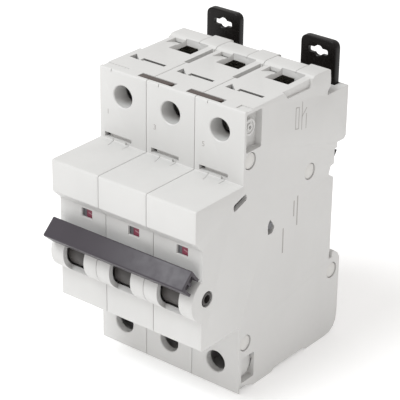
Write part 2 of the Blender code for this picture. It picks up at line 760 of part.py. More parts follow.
# -------------------------------------------------------------------- assembly
def build():
    clear_scene()
    per_pole("housing_tray", make_tray(), "shell")
    per_pole("housing_cover", make_cover(), "shell")
    sink_pin_heads()

    per_pole("toggle", make_toggle(), "toggle", (MID, *HUB), True)
    per_pole("link_wire", make_link(), "steel", (LINK_X, *toggle_pin()), True)
    per_pole("contact_carrier", make_contact_carrier(), "carrier", (MID, *CARRIER_PIVOT))
    per_pole("fixed_contact", make_fixed_contact(), "copper")
    per_pole("trip_coil", make_coil(), "copper", (0, 0, 0), True)
    per_pole("magnet_yoke", make_yoke(), "iron")
    per_pole("plunger", make_plunger(), "steel", (MID, PLUNGER[0], COIL_HEIGHT), True)
    per_pole("bimetal_strip", make_bimetal(), "plated")
    per_pole("arc_chute", make_arc_chute(), "iron")
    per_pole("indicator_flag", make_flag(), "flag")
    for side, height, sign in (("upper", SCREW_HEIGHT[0], 1), ("lower", SCREW_HEIGHT[1], -1)):
        per_pole(f"{side}_terminal_cage", make_cage(sign), "plated")
        per_pole(f"{side}_terminal_screw", make_screw(height), "plated", (MID, SCREW_HEAD[0], height), True)

    place("handle_tie_bar", make_tie_bar(), "bar", 0.0, (0.0, *HUB))
    place("trip_bar", make_trip_bar(), "carrier", 0.0, (0.0, *TRIP_AXIS))
    for name, centre in PINS.items():
        place(name, make_pin(centre), "pin", 0.0, (0.0, *centre), True)
    places = [pole_x(pole) for pole in CLIP_POLES]
    clip = place("rail_clip_left", make_rail_clip(), "clip", places[0])
    repeat(clip, ["rail_clip_left", "rail_clip_right"], places)
    places = [pole_x(0), pole_x(1)]
    tie = place("pole_tie_clip_left", make_tie_clip(), "tie", places[0])
    repeat(tie, ["pole_tie_clip_left", "pole_tie_clip_right"], places)


build()
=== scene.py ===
"""Looks of the three-pole miniature circuit breaker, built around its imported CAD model.

Lengths are in millimetres in the part's own frame: +X to the right across the poles, +Y to the
back, +Z up, origin on the rail seat.  Angles named after the handle are above straight forward,
seen from the hub.
"""
import json
import math

import bmesh
import bpy
from mathutils import Matrix, Vector


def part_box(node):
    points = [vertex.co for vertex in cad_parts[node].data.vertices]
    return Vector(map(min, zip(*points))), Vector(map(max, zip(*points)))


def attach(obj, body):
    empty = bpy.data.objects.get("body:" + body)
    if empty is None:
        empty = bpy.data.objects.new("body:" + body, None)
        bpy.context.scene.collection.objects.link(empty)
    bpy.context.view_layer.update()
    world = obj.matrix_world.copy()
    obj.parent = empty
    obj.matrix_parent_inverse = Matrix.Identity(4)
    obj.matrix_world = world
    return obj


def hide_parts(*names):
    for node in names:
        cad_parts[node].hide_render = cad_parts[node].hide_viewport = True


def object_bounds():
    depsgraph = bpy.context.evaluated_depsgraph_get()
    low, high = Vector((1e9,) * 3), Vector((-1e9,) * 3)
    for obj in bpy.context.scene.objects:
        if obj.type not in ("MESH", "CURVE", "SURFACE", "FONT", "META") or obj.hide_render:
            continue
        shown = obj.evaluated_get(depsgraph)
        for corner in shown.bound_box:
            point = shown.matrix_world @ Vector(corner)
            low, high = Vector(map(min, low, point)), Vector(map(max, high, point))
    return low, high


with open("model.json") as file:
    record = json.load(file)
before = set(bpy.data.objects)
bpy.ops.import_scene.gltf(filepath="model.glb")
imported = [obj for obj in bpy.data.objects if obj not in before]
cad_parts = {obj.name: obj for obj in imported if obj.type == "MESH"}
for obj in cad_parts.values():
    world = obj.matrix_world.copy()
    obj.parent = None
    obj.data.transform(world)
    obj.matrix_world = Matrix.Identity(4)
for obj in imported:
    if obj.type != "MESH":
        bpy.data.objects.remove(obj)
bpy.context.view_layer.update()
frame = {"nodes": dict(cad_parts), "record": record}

MM = 0.001

# Places read from the frame
POLES = sum(name.startswith("housing_tray_") for name in frame["nodes"])
JOINTS = {joint["name"]: joint for joint in frame["record"]["behaviour"]["joints"]}
HUB = tuple(value / MM for value in JOINTS["handle_swing"]["pos_m"][1:])
TRAY_LOW, TRAY_HIGH = (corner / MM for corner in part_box("housing_tray_2"))
COVER_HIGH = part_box("housing_cover_2")[1] / MM
POLE_GAP = 0.3
PITCH = COVER_HIGH.x - TRAY_LOW.x + POLE_GAP
LEFT = TRAY_LOW.x + PITCH / 2 - 0.06
RIGHT = COVER_HIGH.x + PITCH / 2 + 0.06
TOP, BOTTOM, REAR = TRAY_HIGH.z, TRAY_LOW.z, TRAY_HIGH.y
MID = PITCH / 2

# Side outline of a pole
FRONT = -44.0
NOSE_FRONT = -64.7
FACE = -61.6
ROOF = TOP - 0.7
NOSE_TOP, NOSE_BOTTOM = 22.2, -22.5
REAR_BLOCK_TOP = 36.9
BULGE_RADIUS = 6.85
WALL = 1.3
SEAM = RIGHT - 1.5
LUG_SEAM = 11.1
EDGE = 0.11
ABOVE = 46.0
HAIRLINE = 0.14

# Handle
DRUM_RADIUS = 4.75
HANDLE_ON = math.radians(47.0)
BAR_REACH = (7.25, 12.25)
BAR_HALF = (3.2, 2.75)
LEVER_HALF = 1.7
LEVER_REACH = 10.9
LEVER_X = (5.4, 12.2)

# Terminals: (x, y) spans and heights, the same above and below
SCREW_HEIGHT = {"upper": 36.8, "lower": -37.0}
TUNNEL_RADIUS = 3.4
TUNNEL_DEPTH = 11.5
CLAMP_ROOM_X = (2.2, 14.6)
WIRE_ENTRY = ((6.9, 14.1), (-20.1, -12.9))
WIRE_FUNNEL = ((6.3, 14.5), (-20.7, -12.3))
WIRE_COLLAR = ((5.3, 15.4), (-21.6, -11.4))
ENTRY_START = 41.8
FUNNEL_START = 42.9
COLLAR_SPAN = (42.8, 44.0)

# Roof and pins
SLIT_X = (6.2, 14.7)
TIE_SOCKET_X = (8.35, 13.3)
TIE_SOCKET_Y = (-42.9, -40.3)
TIE_LEG_FLOOR = 40.9
TIE_STRIP_FLOOR = 43.25
PIN_NAMES = ("upper_front", "lower_front", "middle", "rear")
PIN_RADIUS = 2.42


# ---------------------------------------------------------------- solid tools
def solid_from(body, name="solid"):
    """Turn a bmesh into an object, still at one unit a millimetre."""
    bmesh.ops.recalc_face_normals(body, faces=body.faces)
    mesh = bpy.data.meshes.new(name)
    body.to_mesh(mesh)
    body.free()
    item = bpy.data.objects.new(name, mesh)
    bpy.context.scene.collection.objects.link(item)
    return item


def extruded(points, offset):
    """Extrude a closed loop of 3-D points by an offset vector."""
    body = bmesh.new()
    face = body.faces.new([body.verts.new(point) for point in points])
    grown = bmesh.ops.extrude_face_region(body, geom=[face])
    moved = [v for v in grown["geom"] if isinstance(v, bmesh.types.BMVert)]
    bmesh.ops.translate(body, vec=offset, verts=moved)
    return solid_from(body)


def prism(outline, start, end):
    """Extrude a (y, z) outline along X."""
    return extruded([(start, y, z) for y, z in outline], (end - start, 0, 0))


def prism_y(outline, start, end):
    """Extrude an (x, z) outline along Y."""
    return extruded([(x, start, z) for x, z in outline], (0, end - start, 0))


def prism_z(outline, start, end):
    """Extrude an (x, y) outline along Z."""
    return extruded([(x, y, start) for x, y in outline], (0, 0, end - start))


def box(x, y, z):
    """Block between pairs of limits."""
    return prism([(y[0], z[0]), (y[1], z[0]), (y[1], z[1]), (y[0], z[1])], *x)


def tapered(low, high, axis, start, end):
    """Loft between two rectangles ((u0, u1), (v0, v1)) that lie at start and end along axis."""
    body = bmesh.new()
    rings = []
    for (u, v), along in ((low, start), (high, end)):
        corners = [(u[0], v[0]), (u[1], v[0]), (u[1], v[1]), (u[0], v[1])]
        ring = []
        for a, b in corners:
            place = {"X": (along, a, b), "Y": (a, along, b), "Z": (a, b, along)}[axis]
            ring.append(body.verts.new(place))
        rings.append(ring)
    for k in range(4):
        nxt = (k + 1) % 4
        body.faces.new((rings[0][k], rings[0][nxt], rings[1][nxt], rings[1][k]))
    body.faces.new(rings[0])
    body.faces.new(rings[1])
    return solid_from(body)


def turned(axis, centre, profile, sides=48):
    """Revolve (distance along the axis, radius) pairs about X or Y."""
    body = bmesh.new()
    rings = []
    for along, radius in profile:
        ring = []
        for k in range(sides):
            turn = math.tau * k / sides
            side, rise = radius * math.cos(turn), radius * math.sin(turn)
            if axis == "X":
                place = (along, centre[0] + side, centre[1] + rise)
            else:
                place = (centre[0] + side, along, centre[1] + rise)
            ring.append(body.verts.new(place))
        rings.append(ring)
    for low, high in zip(rings, rings[1:]):
        for k in range(sides):
            nxt = (k + 1) % sides
            body.faces.new((low[k], low[nxt], high[nxt], high[k]))
    body.faces.new(rings[0])
    body.faces.new(rings[-1])
    return solid_from(body)


def rod(axis, centre, radius, start, end, sides=48):
    """Plain round bar along an axis."""
    return turned(axis, centre, [(start, radius), (end, radius)], sides)


def evaluated(item):
    """Replace an object by the mesh that its modifiers give."""
    graph = bpy.context.evaluated_depsgraph_get()
    mesh = bpy.data.meshes.new_from_object(item.evaluated_get(graph))
    result = bpy.data.objects.new(item.name, mesh)
    bpy.context.scene.collection.objects.link(result)
    bpy.data.objects.remove(item, do_unlink=True)
    return result


def combine(item, others, operation):
    """Apply one Boolean operation with each of the others, which are used up."""
    for other in others:
        step = item.modifiers.new("step", "BOOLEAN")
        step.operation = operation
        step.solver = "EXACT"
        step.object = other
    result = evaluated(item)
    for other in others:
        bpy.data.objects.remove(other, do_unlink=True)
    return result


def cut(item, others):
    return combine(item, others, "DIFFERENCE")


def fuse(item, others):
    return combine(item, others, "UNION")


def keep(item, other):
    return combine(item, [other], "INTERSECT")


def rounded(item, width=EDGE, segments=2, angle=35.0):
    """Round the sharp edges of a plain solid."""
    step = item.modifiers.new("edges", "BEVEL")
    step.width = width
    step.segments = segments
    step.limit_method = "ANGLE"
    step.angle_limit = math.radians(angle)
    return evaluated(item)


def tidy(item, angle):
    """Merge doubles left by the cuts, go from millimetres to metres, shade round faces smooth."""
    body = bmesh.new()
    body.from_mesh(item.data)
    bmesh.ops.remove_doubles(body, verts=body.verts, dist=2e-4)
    bmesh.ops.dissolve_degenerate(body, edges=body.edges, dist=1e-4)
    bmesh.ops.scale(body, vec=(MM, MM, MM), verts=body.verts)
    body.to_mesh(item.data)
    body.free()
    item.data.shade_smooth()
    item.data.set_sharp_from_angle(angle=math.radians(angle))


def copied(item):
    """A second object with its own copy of the mesh."""
    other = bpy.data.objects.new(item.name, item.data.copy())
    bpy.context.scene.collection.objects.link(other)
    return other


def moved_x(item, x):
    item.data.transform(Matrix.Translation((x, 0, 0)))
    return item


def discard(item):
    bpy.data.objects.remove(item, do_unlink=True)


def pole_x(pole):
    """Left pitch line of a pole, the first pole being 0."""
    return (pole - POLES / 2) * PITCH


# ------------------------------------------------------------------- outlines
def arc(centre, radius, start, end, steps):
    """Points on an arc; angles in radians from the first axis to the second."""
    points = []
    for k in range(steps + 1):
        turn = start + (end - start) * k / steps
        points.append((centre[0] + radius * math.cos(turn), centre[1] + radius * math.sin(turn)))
    return points


def filleted(outline, radius=0.3, steps=4):
    """Round the corners of an outline; a point may carry its own radius as a third value."""
    result = []
    count = len(outline)
    for k, point in enumerate(outline):
        here = Vector(point[:2])
        own = point[2] if len(point) > 2 else radius
        before = Vector(outline[k - 1][:2]) - here
        after = Vector(outline[(k + 1) % count][:2]) - here
        bend = before.angle(after)
        reach = own / math.tan(bend / 2) if own and bend < math.radians(176) else 0.0
        reach = min(reach, before.length * 0.45, after.length * 0.45)
        if reach < 1e-3:
            result.append((here.x, here.y))
            continue
        first, last = here + before.normalized() * reach, here + after.normalized() * reach
        for j in range(steps + 1):
            t = j / steps
            spot = first * (1 - t) ** 2 + here * 2 * t * (1 - t) + last * t * t
            result.append((spot.x, spot.y))
    return result


def polar(radius, lift, slide=0.0):
    """A (y, z) point seen from the hub, lift above straight forward."""
    return (
        HUB[0] - radius * math.cos(lift) - slide * math.sin(lift),
        HUB[1] + radius * math.sin(lift) - slide * math.cos(lift),
    )


def pole_outline():
    """Side view of a pole with its full roof ridge."""
    ridge = [(-12.7, ROOF, 0.2), (-11.9, TOP - 0.1, 0.4), (-10.5, TOP, 0.8), (-4.8, TOP - 0.2, 0.3),
             (-4.0, TOP - 0.7, 0.3)]
    notch = [(-3.7, 41.6), (-3.7, 39.4), (-5.0, 38.0), (-5.0, REAR_BLOCK_TOP, 0.1)]
    block = [(REAR, REAR_BLOCK_TOP, 0.5), (REAR, 20.9), (4.6, 20.0)]
    seat = [(1.2, 20.0, 0.1), (1.2, 18.3, 0.1), (0.0, 18.3), (0.0, 13.6), (-1.7, 13.2),
            (-2.5, 10.8), (0.0, 9.2)]
    hook = [(0.0, -15.6), (-0.2, -15.8), (-0.2, -18.2, 0.1), (1.4, -18.2, 0.1), (1.4, -16.6, 0.3),
            (2.3, -16.2, 0.3), (4.4, -17.8), (REAR, -19.6, 1)]
    foot = [(REAR, BOTTOM, 6.2)]
    belly = [(-10.4, BOTTOM), (-12.0, BOTTOM + 1), (-26.5, BOTTOM + 1), (-28.0, BOTTOM)]
    lower = [(FRONT, BOTTOM, 0.5), (FRONT, NOSE_BOTTOM, 0.2), (FACE, NOSE_BOTTOM, 0.6)]
    half = math.acos((HUB[0] - FACE) / BULGE_RADIUS)
    bulge = [(*point, 0) for point in arc(HUB, BULGE_RADIUS, math.pi + half, math.pi - half, 30)]
    upper = [(FACE, 9.2, 0.8), (NOSE_FRONT, 12.3, 0.5), (NOSE_FRONT, NOSE_TOP, 0.6),
             (FRONT, NOSE_TOP, 0.2), (FRONT, ROOF, 0.5)]
    return ridge + notch + block + seat + hook + foot + belly + lower + bulge + upper


# ------------------------------------------------------------------ materials
def new_material(name):
    material = bpy.data.materials.new(name)
    material.use_nodes = True
    tree = material.node_tree
    return material, tree, tree.nodes["Principled BSDF"]


def noise(tree, scale, detail=4.0, roughness=0.55, stretch=(1, 1, 1)):
    """Noise in the part's own metres, so its scale is in cycles a metre."""
    place = tree.nodes.new("ShaderNodeTexCoord")
    mapping = tree.nodes.new("ShaderNodeMapping")
    mapping.inputs["Scale"].default_value = stretch
    texture = tree.nodes.new("ShaderNodeTexNoise")
    texture.inputs["Scale"].default_value = scale
    texture.inputs["Detail"].default_value = detail
    texture.inputs["Roughness"].default_value = roughness
    tree.links.new(place.outputs["Object"], mapping.inputs["Vector"])
    tree.links.new(mapping.outputs["Vector"], texture.inputs["Vector"])
    return texture.outputs["Fac"]


def ramp(tree, source, low, high, start=0.3, end=0.7):
    """Map a factor to a range of grey values or between two colours."""
    node = tree.nodes.new("ShaderNodeValToRGB")
    for element, place, value in zip(node.color_ramp.elements, (start, end), (low, high)):
        element.position = place
        element.color = (*value, 1.0) if isinstance(value, tuple) else (value, value, value, 1.0)
    tree.links.new(source, node.inputs["Fac"])
    return node.outputs["Color"]


def bumped(tree, shader, height, strength, distance):
    """Fine relief from a height factor."""
    node = tree.nodes.new("ShaderNodeBump")
    node.inputs["Strength"].default_value = strength
    node.inputs["Distance"].default_value = distance
    tree.links.new(height, node.inputs["Height"])
    tree.links.new(node.outputs["Normal"], shader.inputs["Normal"])


def moulded(name, colour, rough=(0.38, 0.5), grain=5200.0, depth=0.00002, spread=0.04, specular=0.5):
    """Injection-moulded plastic: faint flow variation, fine spark-eroded grain."""
    material, tree, shader = new_material(name)
    dark = tuple(max(0.0, c * (1 - spread)) for c in colour)
    light = tuple(min(1.0, c * (1 + spread)) for c in colour)
    flow = noise(tree, 55.0, 3.0, 0.5, (1.0, 0.7, 0.5))
    tree.links.new(ramp(tree, flow, dark, light, 0.35, 0.65), shader.inputs["Base Color"])
    patch = noise(tree, 420.0, 4.0, 0.6)
    tree.links.new(ramp(tree, patch, rough[0], rough[1]), shader.inputs["Roughness"])
    bumped(tree, shader, noise(tree, grain, 2.0, 0.6), 0.35, depth)
    shader.inputs["Specular IOR Level"].default_value = specular
    return material


def metal(name, colour, rough=(0.22, 0.4), grain=900.0, stretch=(1, 1, 6), depth=0.00001, spread=0.12):
    """Drawn or plated metal: directional streaks and uneven dullness."""
    material, tree, shader = new_material(name)
    shader.inputs["Metallic"].default_value = 1.0
    dark = tuple(c * (1 - spread) for c in colour)
    light = tuple(min(1.0, c * (1 + spread)) for c in colour)
    tree.links.new(ramp(tree, noise(tree, 260.0), dark, light), shader.inputs["Base Color"])
    streak = noise(tree, grain, 3.0, 0.6, stretch)
    tree.links.new(ramp(tree, streak, rough[0], rough[1]), shader.inputs["Roughness"])
    bumped(tree, shader, streak, 0.3, depth)
    return material


LOOKS = {
    "housing_plastic": moulded("housing_plastic", (0.605, 0.600, 0.590), (0.4, 0.52), spread=0.02),
    "pin_plastic": moulded("pin_plastic", (0.64, 0.63, 0.61), (0.42, 0.55), spread=0.02),
    "bar_plastic": moulded("bar_plastic", (0.042, 0.035, 0.044), (0.36, 0.46), spread=0.1, specular=0.4),
    "toggle_plastic": moulded("toggle_plastic", (0.045, 0.04, 0.038), (0.38, 0.5), spread=0.1),
    "clip_plastic": moulded("clip_plastic", (0.006, 0.005, 0.0045), (0.2, 0.32), spread=0.15, specular=0.18),
    "tie_clip_plastic": moulded("tie_clip_plastic", (0.07, 0.052, 0.045), (0.4, 0.5), spread=0.1),
    "flag_red": moulded("flag_red", (0.245, 0.045, 0.078), (0.3, 0.4), spread=0.08),
    # dark carrier plastic, also used for the dark band on each indicator flag, which is painted shadow of
    # the window's left wall
    "carrier_plastic": moulded("carrier_plastic", (0.13, 0.13, 0.14), (0.4, 0.5), spread=0.1),
    "bright_steel": metal("bright_steel", (0.60, 0.60, 0.61), (0.15, 0.28)),
    "dark_steel": metal("dark_steel", (0.33, 0.33, 0.34), (0.3, 0.5)),
    "plated_steel": metal("plated_steel", (0.63, 0.61, 0.56), (0.2, 0.36)),
    # screw steel is darkened below the plated steel to paint the shade on the screw heads deep in their
    # tunnels
    "shade_darkened_screw_steel": metal("shade_darkened_screw_steel", (0.20, 0.19, 0.175), (0.25, 0.45)),
    "copper": metal("copper", (0.72, 0.38, 0.24), (0.2, 0.38)),
    # light pink of the small stroke on each flag: a painted highlight on the red plate
    "painted_flag_highlight": moulded("painted_flag_highlight", (0.42, 0.22, 0.25), (0.5, 0.6), spread=0.06),
    "print": moulded("print_ink", (0.36, 0.34, 0.33), (0.5, 0.6), spread=0.06),
}


def dress(item, look):
    """Give an object one of the looks as its only material."""
    item.data.materials.clear()
    item.data.materials.append(LOOKS[look])


def piece(name, item, body, look, *nodes, angle=32.0):
    """Name a finished solid, give it its look and hang it on its body."""
    tidy(item, angle)
    item.name = name
    item.data.name = name
    dress(item, look)
    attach(item, body)
    if nodes:
        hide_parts(*nodes)
    return item


# -------------------------------------------------------------------- housing
def countersunk(axis, centre, radius, mouth, depth, chamfer=0.25, sides=48):
    """Hole cutter with a small chamfer at its mouth; depth is signed."""
    way = 1 if depth > 0 else -1
    profile = [(mouth - way, radius + chamfer), (mouth, radius + chamfer),
               (mouth + way * chamfer, radius), (mouth + depth, radius)]
    return turned(axis, centre, profile, sides)


def terminal_cutters():
    """Screw tunnels and wire entries, above and below."""
    cutters = []
    for height in SCREW_HEIGHT.values():
        cutters.append(countersunk("Y", (MID, height), TUNNEL_RADIUS, FRONT, TUNNEL_DEPTH))
    cutters.append(box(CLAMP_ROOM_X, (FRONT + 2.3, -33.0), (-42.4, -31.2)))
    cutters.append(box(CLAMP_ROOM_X, (FRONT + 5.4, -33.0), (31.2, 42.2)))
    for sign in (1, -1):
        face, mouth = sign * ROOF, sign * ABOVE
        cutters.append(box(*WIRE_ENTRY, sorted((sign * ENTRY_START, mouth))))
        cutters.append(tapered(WIRE_ENTRY, WIRE_FUNNEL, "Z", sign * FUNNEL_START, face))
        cutters.append(box(*WIRE_FUNNEL, sorted((face, mouth))))
    return cutters


def roof_cutters():
    """Wedge, busbar slit, ramp beside the wire entry and rebates at the joints."""
    wedge = prism_z([(2.1, -33.3), (2.3, -30.3), (5.9, -33.5)], 43.0, ABOVE)
    ramp = prism([(-17.6, ROOF + 0.01), (-17.6, ABOVE), (-13.0, ABOVE), (-13.0, 43.0)], 2.6, 6.4)
    slit_y, slit_floor = (-33.4, -31.6), 40.0
    slit = [
        box(SLIT_X, slit_y, (ROOF - 0.4, ABOVE)),
        tapered((SLIT_X, (-32.1, -31.6)), (SLIT_X, (-32.1, -30.4)), "Z", ROOF - 0.12, 42.4),
        box(SLIT_X, (-32.1, -31.0), (slit_floor, 42.5)),
        box((SLIT_X[0], SLIT_X[0] + 0.4), slit_y, (slit_floor, ABOVE)),
    ]
    half = HAIRLINE / 2
    lug_joint = box((LUG_SEAM - half, LUG_SEAM + half), (-13.2, -3.0), (ROOF - 0.2, 60))
    rebate = [(-26.4, ROOF + 0.05), (-24.6, 42.0), (-14.0, 41.8), (-13.4, 42.6), (-13.0, ABOVE),
              (-26.4, ABOVE)]
    rebates = [prism(rebate, *x) for x in ((16.7, 18.0), (-1.0, 1.0))]
    return [wedge, ramp] + slit + [lug_joint] + rebates


def label_cutters():
    """Label slot at the base of the terminal face, with its tongue's outline on the nose."""
    height = (22.85, 24.3)
    slot = [box((1.8, 11.9), (FRONT - 1, FRONT + 1.3), height),
            box((1.8, 2.9), (FRONT - 1, FRONT + 4.0), height)]
    fine, floor, root = 0.16, NOSE_TOP - 0.22, FRONT + 0.2
    for start, tip, tip_y in ((4.9, 5.9, -47.4), (10.9, 10.9, -46.8)):
        line = [(start, root), (start + fine, root), (tip + fine, tip_y), (tip, tip_y)]
        slot.append(prism_z(line, floor, NOSE_TOP + 1))
    slot.append(box((9.6, 10.9 + fine), (FRONT - 0.1, FRONT + 0.4), (floor, NOSE_TOP + 1.6)))
    return slot


def toggle_slot():
    """Slot of the bulge: rounded lower left corner, sharp lower right one."""
    low, high = math.radians(-42.5), math.radians(66.0)
    deep_low = math.radians(-64.0)
    left, right, top = 4.9, 12.7, 6.0
    inner = arc(HUB, 3.25, math.pi - deep_low, math.pi - high, 6)
    outer = arc(HUB, 9.35, math.pi - high, math.pi - low, 10)
    sector = prism(inner + outer, left, right)
    floor = polar(BULGE_RADIUS, low)[1] - 0.4
    window = [(left, floor, 2.6), (right, floor, 0.3), (right, top, 0), (left, top, 0)]
    return keep(sector, prism_y(filleted(window, 0, 8), -75, -50))


def front_cutters():
    """Indicator window with a chamfered rim and the small latch notches of the roof edge."""
    window = ((8.4, 12.2), (5.7, 8.4))
    rim = ((8.2, 12.4), (5.5, 8.6))
    return [
        box(window[0], (FACE - 1, -59.0), window[1]),
        box((7.2, 13.4), (FACE + 0.65, -60.0), (4.7, 12.9)),
        tapered(rim, window, "Y", FACE - 0.1, FACE + 0.25),
        box((4.3, 4.55), (FRONT - 1, FRONT + 0.35), (ROOF - 0.9, ABOVE)),
        box((0.8, 3.4), (-42.6, -40.7), (ROOF - 0.18, ABOVE)),
    ]


def side_cutters():
    """Pockets, test slot, drop-shaped opening and hub hole of the right side."""
    end, pocket_floor, hole_floor = RIGHT + 1, 15.2, 14
    slanted = filleted([(-48.0, 15.7), (-42.1, 17.7), (-42.7, 19.7), (-48.4, 17.8)], 0.95, 6)
    upper = filleted([(-43.2, 31.8), (-36.4, 31.8), (-36.4, 43.2), (-43.2, 43.2)], 0.5, 3)
    lower = filleted([(-42.7, -41.8), (-36.8, -41.8), (-36.8, -33.6), (-42.7, -33.6)], 0.5, 3)
    opening = [(-31.9, 2.4, 0.4), (-32.0, 5.6, 1.2), (-30.9, 7.1, 0.3), (-28.7, 4.0, 0.8),
               (-29.9, 2.4, 0.9)]
    return [
        prism(upper, pocket_floor, end),
        prism(lower, pocket_floor, end),
        prism(slanted, hole_floor, end),
        prism(filleted(opening, 0.4, 5), hole_floor, end),
        countersunk("X", HUB, 2.35, RIGHT, -3.4, 0.15),
    ]


def rear_cutters():
    """Channel of the rail clip with its open back and the room for the nose."""
    channel_x, channel_z, back = (1.7, 14.7), (8.0, ABOVE), REAR + 2
    return [
        box(channel_x, (2.2, 5.2), channel_z),
        box((3.3, 13.1), (2.5, back), channel_z),
        box(channel_x, (1.1, back), (12.0, 22.9)),
    ]


def hollow_cutters():
    """Rooms inside a tray for the terminals, the mechanism and the toggle's drum."""
    span, terminal_y = (LEFT + WALL, SEAM + 0.1), (-33.4, -10.3)
    low, high = COLLAR_SPAN
    upper = cut(box(span, terminal_y, (24.0, 43.1)), [box(*WIRE_COLLAR, (low, high))])
    lower = cut(box(span, terminal_y, (-42.8, -24.0)), [box(*WIRE_COLLAR, (-high, -low))])
    return [
        upper,
        lower,
        box(span, (-42.4, -4.6), (-25.0, 25.0)),
        box(span, (-60.2, -42.0), (-21.0, 20.7)),
        rod("X", HUB, 5.3, *span),
        rod("X", HUB, 1.55, -1, 3, 24),
    ]


def tie_cutters(first, last):
    """Sockets of the pole tie clips in the front edge of the roof, shallow at the outer ends."""
    left_end, right_start = TIE_SOCKET_X
    shallow, deep = (ROOF - 0.3, ABOVE), (TIE_LEG_FLOOR, ABOVE)
    left = box((-1, left_end), TIE_SOCKET_Y, shallow if first else deep)
    if last:
        return [left, box((right_start, PITCH + 1), TIE_SOCKET_Y, shallow)]
    strip = box((right_start, PITCH + 1), TIE_SOCKET_Y, (TIE_STRIP_FLOOR, ABOVE))
    return [left, strip, box((right_start, SEAM), TIE_SOCKET_Y, deep)]


def pin_centre(name):
    """Where a pin's axis crosses the side, as (y, z)."""
    low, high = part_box("assembly_pin_" + name)
    return (low.y + high.y) / 2 / MM, (low.z + high.z) / 2 / MM


def make_pole(first, last):
    """One moulded pole, before it is parted into tray and cover."""
    pole = rounded(prism(filleted(pole_outline()), LEFT, RIGHT), EDGE, 2, 60.0)
    short_ridge = box((LEFT - 1, LUG_SEAM + 0.05), (-6.2, -3.0), (REAR_BLOCK_TOP, ABOVE))
    cutters = terminal_cutters() + roof_cutters() + label_cutters() + front_cutters()
    cutters += side_cutters() + rear_cutters() + tie_cutters(first, last)
    cutters += [toggle_slot(), short_ridge]
    bore, bore_depth, bore_chamfer = PIN_RADIUS + HAIRLINE, 1.3, 0.06
    for name in PIN_NAMES:
        if last:
            cutters.append(countersunk("X", pin_centre(name), bore, RIGHT, -bore_depth, bore_chamfer))
        if first:
            cutters.append(countersunk("X", pin_centre(name), bore, LEFT, bore_depth, bore_chamfer))
    if last:
        corner = [(-43.4, -42.6), (-42.5, -42.8), (-37.7, -44.4), (-36.5, -45.2), (-36.5, -ABOVE),
                  (-43.4, -ABOVE)]
        cutters.append(prism(corner, 16.0, RIGHT + 1))
    pole = cut(pole, cutters)
    disc = rounded(rod("X", (-40.2, SCREW_HEIGHT["lower"]), TUNNEL_RADIUS, 14.7, 16.1, 48), 0.12, 2)
    boss = turned("X", (-40.5, 38.5), [(14.9, 2.5), (16.3, 2.5), (16.4, 2.4), (16.4, 1.9), (16.1, 1.8),
                                      (16.1, 1.2), (16.5, 1.1), (16.5, 0.6), (15.6, 0.5)])
    return fuse(pole, [boss, disc])


def cover_region():
    """Space taken by the cover: the right side plate and the wide end of the ridge."""
    plate = box((SEAM + 0.02, RIGHT + 2), (-80, 20), (-60, 60))
    lug = box((LUG_SEAM, RIGHT + 2), (-12.95, -3.0), (REAR_BLOCK_TOP + 0.1, 60))
    return fuse(plate, [lug])


def make_housings():
    """Tray and cover of each pole; only the outer poles show pin heads."""
    for number in range(1, POLES + 1):
        x = pole_x(number - 1)
        pole = make_pole(number == 1, number == POLES)
        cover = keep(copied(pole), cover_region())
        tray = cut(pole, [cover_region()] + hollow_cutters())
        for name, part in (("tray", tray), ("cover", cover)):
            piece(f"pole_{name}_{number}", moved_x(part, x), "housing", "housing_plastic",
                  f"housing_{name}_{number}")


# --------------------------------------------------------------------- handle
def along_handle(near, far, half):
    """Corners of a strip that lies along the handle, near to far from the hub."""
    return [polar(near, HANDLE_ON, -half), polar(far, HANDLE_ON, -half),
            polar(far, HANDLE_ON, half), polar(near, HANDLE_ON, half)]


def make_toggles():
    """Drum, lever and stubs of each toggle in one moulding, with the holes of socket and link."""
    lever = rounded(prism(along_handle(2.0, LEVER_REACH, LEVER_HALF), *LEVER_X), 0.3, 3)
    drum = rounded(rod("X", HUB, DRUM_RADIUS, 5.0, 13.0, 64), 0.2, 2)
    stubs = [rod("X", HUB, 1.2, LEFT + 0.3, 6.0),
             rounded(rod("X", HUB, 2.0, 12.0, RIGHT - 0.15), 0.15, 2)]
    toggle = fuse(drum, [lever] + stubs)
    socket = rod("X", HUB, 1.25, RIGHT - 3.0, RIGHT + 1)
    pin_place = [value / MM for value in JOINTS["link_2_pivot"]["pos_m"][1:]]
    toggle = cut(toggle, [socket, rod("X", pin_place, 0.85, 4.0, 8.0, 24)])
    for number in range(1, POLES + 1):
        lever = moved_x(copied(toggle), pole_x(number - 1))
        piece(f"toggle_lever_{number}", lever, "handle", "toggle_plastic", f"toggle_{number}")
    discard(toggle)


def make_tie_bar():
    """Channel with rounded edges, a hollow back and ribs across its hollow near both ends."""
    inner_reach, outer_reach = BAR_REACH
    outer, inner = BAR_HALF
    corners = [(inner_reach, -inner, 0.2), (outer_reach, -outer, 0.45), (outer_reach, outer, 0.45),
               (inner_reach, inner, 0.2)]
    skin = filleted([(*polar(reach, HANDLE_ON, half), radius) for reach, half, radius in corners], 0.4, 5)
    low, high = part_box("handle_tie_bar")
    start, end = low.x / MM, high.x / MM
    bar = rounded(prism(skin, start, end), 0.12, 2, 60.0)
    room, floor = LEVER_HALF + 0.3, outer_reach - 1.0
    bar = cut(bar, [prism(along_handle(inner_reach - 2, floor, room), start - 1, end + 1)])
    bite = 0.2
    web = along_handle(inner_reach + 0.6, floor + bite, room + bite)
    middle = along_handle(inner_reach + 1.2, floor + bite, 0.35)
    webs = [prism(web, start + 1.5, start + 2.4), prism(web, end - 2.4, end - 1.5),
            prism(middle, start + 0.5, start + 1.7), prism(middle, end - 1.7, end - 0.5)]
    bar = fuse(bar, webs)
    piece("tie_bar", bar, "handle", "bar_plastic", "handle_tie_bar")


